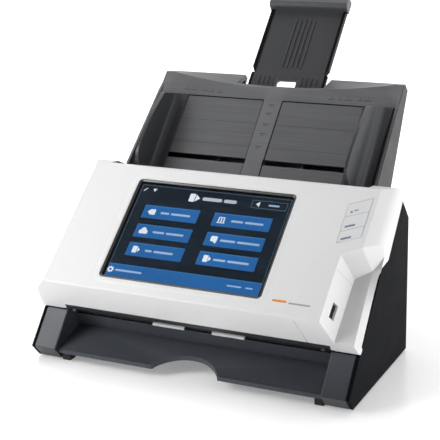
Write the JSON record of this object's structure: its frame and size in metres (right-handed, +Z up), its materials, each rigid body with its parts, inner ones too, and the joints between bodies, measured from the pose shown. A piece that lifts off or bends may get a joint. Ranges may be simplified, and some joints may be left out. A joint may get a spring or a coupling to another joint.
{
  "type": "sheet fed document scanner",
  "caption": "Desktop document scanner with a sloping touch display, hinged feed cover, output bay, tilted paper tray with sliding guides and a pull-out extension",
  "frame": {"origin": "on the table under the middle of the bounding box", "axes": "+Z up, -Y towards the user at the display, +X to the user's right"},
  "size_m": [0.318, 0.3188, 0.3082],
  "materials": {
    "belt_rubber": "matt",
    "black_base": "fine texture",
    "black_bezel": "polished",
    "black_rubber": "matt",
    "bright_steel": "ground",
    "charcoal_frame": "fine texture",
    "charcoal_skin": "satin moulded",
    "circuit_board": "solder mask",
    "dark_inner": "moulded",
    "display_glass": "clear, dark edge",
    "display_panel": "dark blue picture",
    "extension_grey": "satin",
    "guide_grey": "satin",
    "key_grey": "satin",
    "motor_can": "zinc plated",
    "rail_black": "moulded",
    "screw_steel": "blackened",
    "sensor_body": "moulded",
    "sensor_glass": "clear",
    "socket_plastic": "moulded",
    "tray_grey": "fine texture",
    "white_acetal": "moulded",
    "white_shell": "satin moulded",
    "white_tab": "satin moulded"
  },
  "bodies": {
    "base": {"right_side_frame": "charcoal_frame", "left_side_frame": "charcoal_frame", "right_side_panel": "charcoal_skin", "left_side_panel": "charcoal_skin", "output_floor": "black_base", "base_pan": "black_base", "rubber_feet": "black_rubber", "rear_cover": "charcoal_skin", "rear_screws": "screw_steel", "paper_bed": "dark_inner", "shaft_bushes": "white_acetal", "drive_belt": "belt_rubber", "drive_motor": "motor_can", "rear_image_sensor": "sensor_body", "rear_sensor_glass": "sensor_glass", "main_board": "circuit_board", "lan_socket": "bright_steel", "usb_b_socket": "bright_steel", "power_socket": "socket_plastic", "hinge_pins": "bright_steel"},
    "feed_roller": {"feed_shaft": "bright_steel", "feed_tyres": "black_rubber", "feed_pulley": "white_acetal"},
    "drive_roller": {"drive_shaft": "bright_steel", "drive_tyres": "black_rubber", "drive_pulley": "white_acetal"},
    "exit_roller": {"exit_shaft": "bright_steel", "exit_tyres": "black_rubber", "exit_pulley": "white_acetal"},
    "motor_rotor": {"motor_shaft": "bright_steel", "motor_pulley": "white_acetal"},
    "cover": {"front_cover": "white_shell", "cover_inner_frame": "dark_inner", "display_carrier": "black_bezel", "display_glass": "display_glass", "display_panel": "display_panel", "display_board": "circuit_board", "key_board": "circuit_board", "usb_a_socket": "bright_steel", "usb_a_board": "circuit_board", "exit_tabs": "white_tab", "front_image_sensor": "sensor_body", "front_sensor_glass": "sensor_glass"},
    "upper_idler": {"upper_nip_roller": "bright_steel"},
    "lower_idler": {"lower_nip_roller": "bright_steel"},
    "separation_roller": {"retard_roller": "bright_steel", "retard_sleeve": "black_rubber"},
    "key_lower": {"lower_key": "key_grey"},
    "key_middle": {"middle_key": "key_grey"},
    "key_power": {"power_key": "key_grey"},
    "tray": {"paper_tray": "tray_grey", "tray_back_cover": "tray_grey", "tray_screws": "screw_steel"},
    "left_guide": {"left_paper_guide": "guide_grey", "left_guide_rack": "guide_grey"},
    "right_guide": {"right_paper_guide": "guide_grey", "right_guide_rack": "guide_grey"},
    "pinion": {"guide_pinion": "white_acetal"},
    "extension": {"tray_extension": "extension_grey", "extension_rails": "rail_black"}
  },
  "joints": [
    {"name": "cover_hinge", "type": "hinge", "parent": "base", "child": "cover", "pos_m": [0, -0.13161, 0.049], "axis": [1, 0, 0], "range_deg": [0, 70]},
    {"name": "feed_spin", "type": "hinge", "parent": "base", "child": "feed_roller", "pos_m": [0, -0.03515, 0.11416], "axis": [1, 0, 0], "continuous": true},
    {"name": "drive_spin", "type": "hinge", "parent": "base", "child": "drive_roller", "pos_m": [0, -0.05552, 0.09768], "axis": [1, 0, 0], "continuous": true},
    {"name": "exit_spin", "type": "hinge", "parent": "base", "child": "exit_roller", "pos_m": [0, -0.09303, 0.05883], "axis": [1, 0, 0], "continuous": true},
    {"name": "motor_spin", "type": "hinge", "parent": "base", "child": "motor_rotor", "pos_m": [0, -0.034, 0.06022], "axis": [1, 0, 0], "continuous": true},
    {"name": "upper_idler_spin", "type": "hinge", "parent": "cover", "child": "upper_idler", "pos_m": [0, -0.06386, 0.10574], "axis": [1, 0, 0], "continuous": true},
    {"name": "lower_idler_spin", "type": "hinge", "parent": "cover", "child": "lower_idler", "pos_m": [0, -0.10137, 0.06689], "axis": [1, 0, 0], "continuous": true},
    {"name": "separation_spin", "type": "hinge", "parent": "cover", "child": "separation_roller", "pos_m": [0, -0.04724, 0.12583], "axis": [1, 0, 0], "continuous": true},
    {"name": "lower_key_press", "type": "slide", "parent": "cover", "child": "key_lower", "axis": [0, 0.6401, -0.7683], "range_m": [0, 0.0008], "stiffness_N_per_m": 1500, "springref_m": -0.0004},
    {"name": "middle_key_press", "type": "slide", "parent": "cover", "child": "key_middle", "axis": [0, 0.6401, -0.7683], "range_m": [0, 0.0008], "stiffness_N_per_m": 1500, "springref_m": -0.0004},
    {"name": "power_key_press", "type": "slide", "parent": "cover", "child": "key_power", "axis": [0, 0.6401, -0.7683], "range_m": [0, 0.0008], "stiffness_N_per_m": 1500, "springref_m": -0.0004},
    {"name": "tray_lift", "type": "slide", "parent": "base", "child": "tray", "axis": [0, 0.6947, 0.7193], "range_m": [0, 0.03]},
    {"name": "left_guide_slide", "type": "slide", "parent": "tray", "child": "left_guide", "axis": [1, 0, 0], "range_m": [0, 0.065]},
    {"name": "right_guide_slide", "type": "slide", "parent": "tray", "child": "right_guide", "axis": [-1, 0, 0], "range_m": [0, 0.065]},
    {"name": "pinion_turn", "type": "hinge", "parent": "tray", "child": "pinion", "pos_m": [0, 0.00802, 0.16491], "axis": [0, 0.7193, -0.6947], "range_deg": [0, 415]},
    {"name": "extension_slide", "type": "slide", "parent": "tray", "child": "extension", "axis": [0, -0.6947, -0.7193], "range_m": [0, 0.085]}
  ],
  "couplings": [
    {"joint": "exit_spin", "follows": "drive_spin", "ratio": 1},
    {"joint": "feed_spin", "follows": "drive_spin", "ratio": 0.71429},
    {"joint": "motor_spin", "follows": "drive_spin", "ratio": 1.3333},
    {"joint": "right_guide_slide", "follows": "left_guide_slide", "ratio": 1},
    {"joint": "pinion_turn", "follows": "left_guide_slide", "rad_per_m": 111.11}
  ]
}
